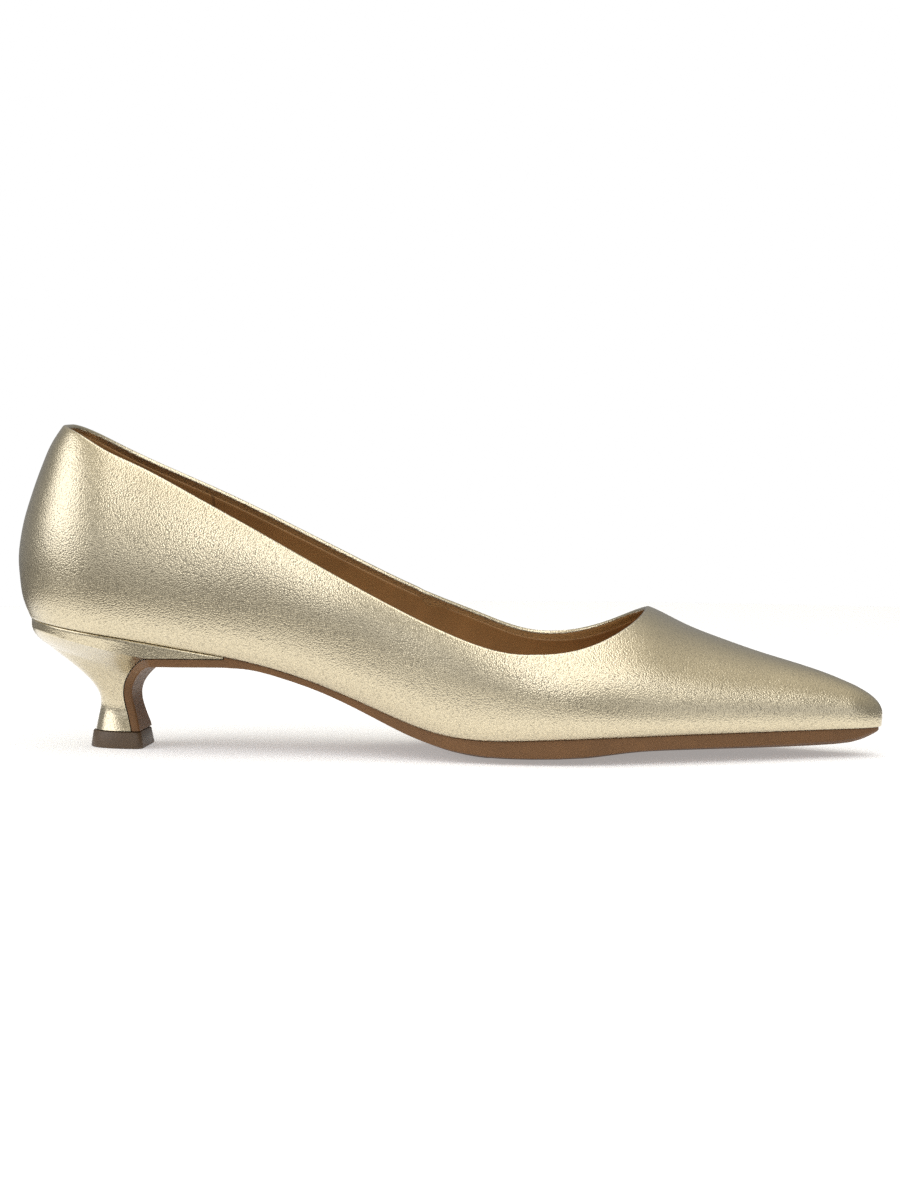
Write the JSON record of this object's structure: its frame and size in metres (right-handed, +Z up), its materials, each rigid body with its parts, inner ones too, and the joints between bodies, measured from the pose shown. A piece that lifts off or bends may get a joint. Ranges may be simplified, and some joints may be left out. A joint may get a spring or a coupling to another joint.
{
  "type": "kitten heel pump",
  "caption": "Pointed-toe kitten heel pump for the right foot, with a low flared covered heel and an open topline.",
  "frame": {"origin": "middle of the shoe's length and of the ball's width, on the floor", "axes": "+X along the shoe to the toe, +Y to the inner (medial) side of the right foot, +Z up"},
  "size_m": [0.265, 0.0818, 0.0993],
  "materials": {
    "gold_leather": "pale champagne gold foiled leather with a fine pebble grain, semi-gloss",
    "sock": "smooth tan lining leather, matte",
    "sole": "brown leather-board sole, dyed edge, satin",
    "top_piece": "dark taupe moulded top piece, matte"
  },
  "bodies": {
    "root": {"outsole": "sole", "insole": "sock", "upper": "gold_leather", "heel": "gold_leather", "heel_tip": "top_piece"}
  },
  "joints": []
}
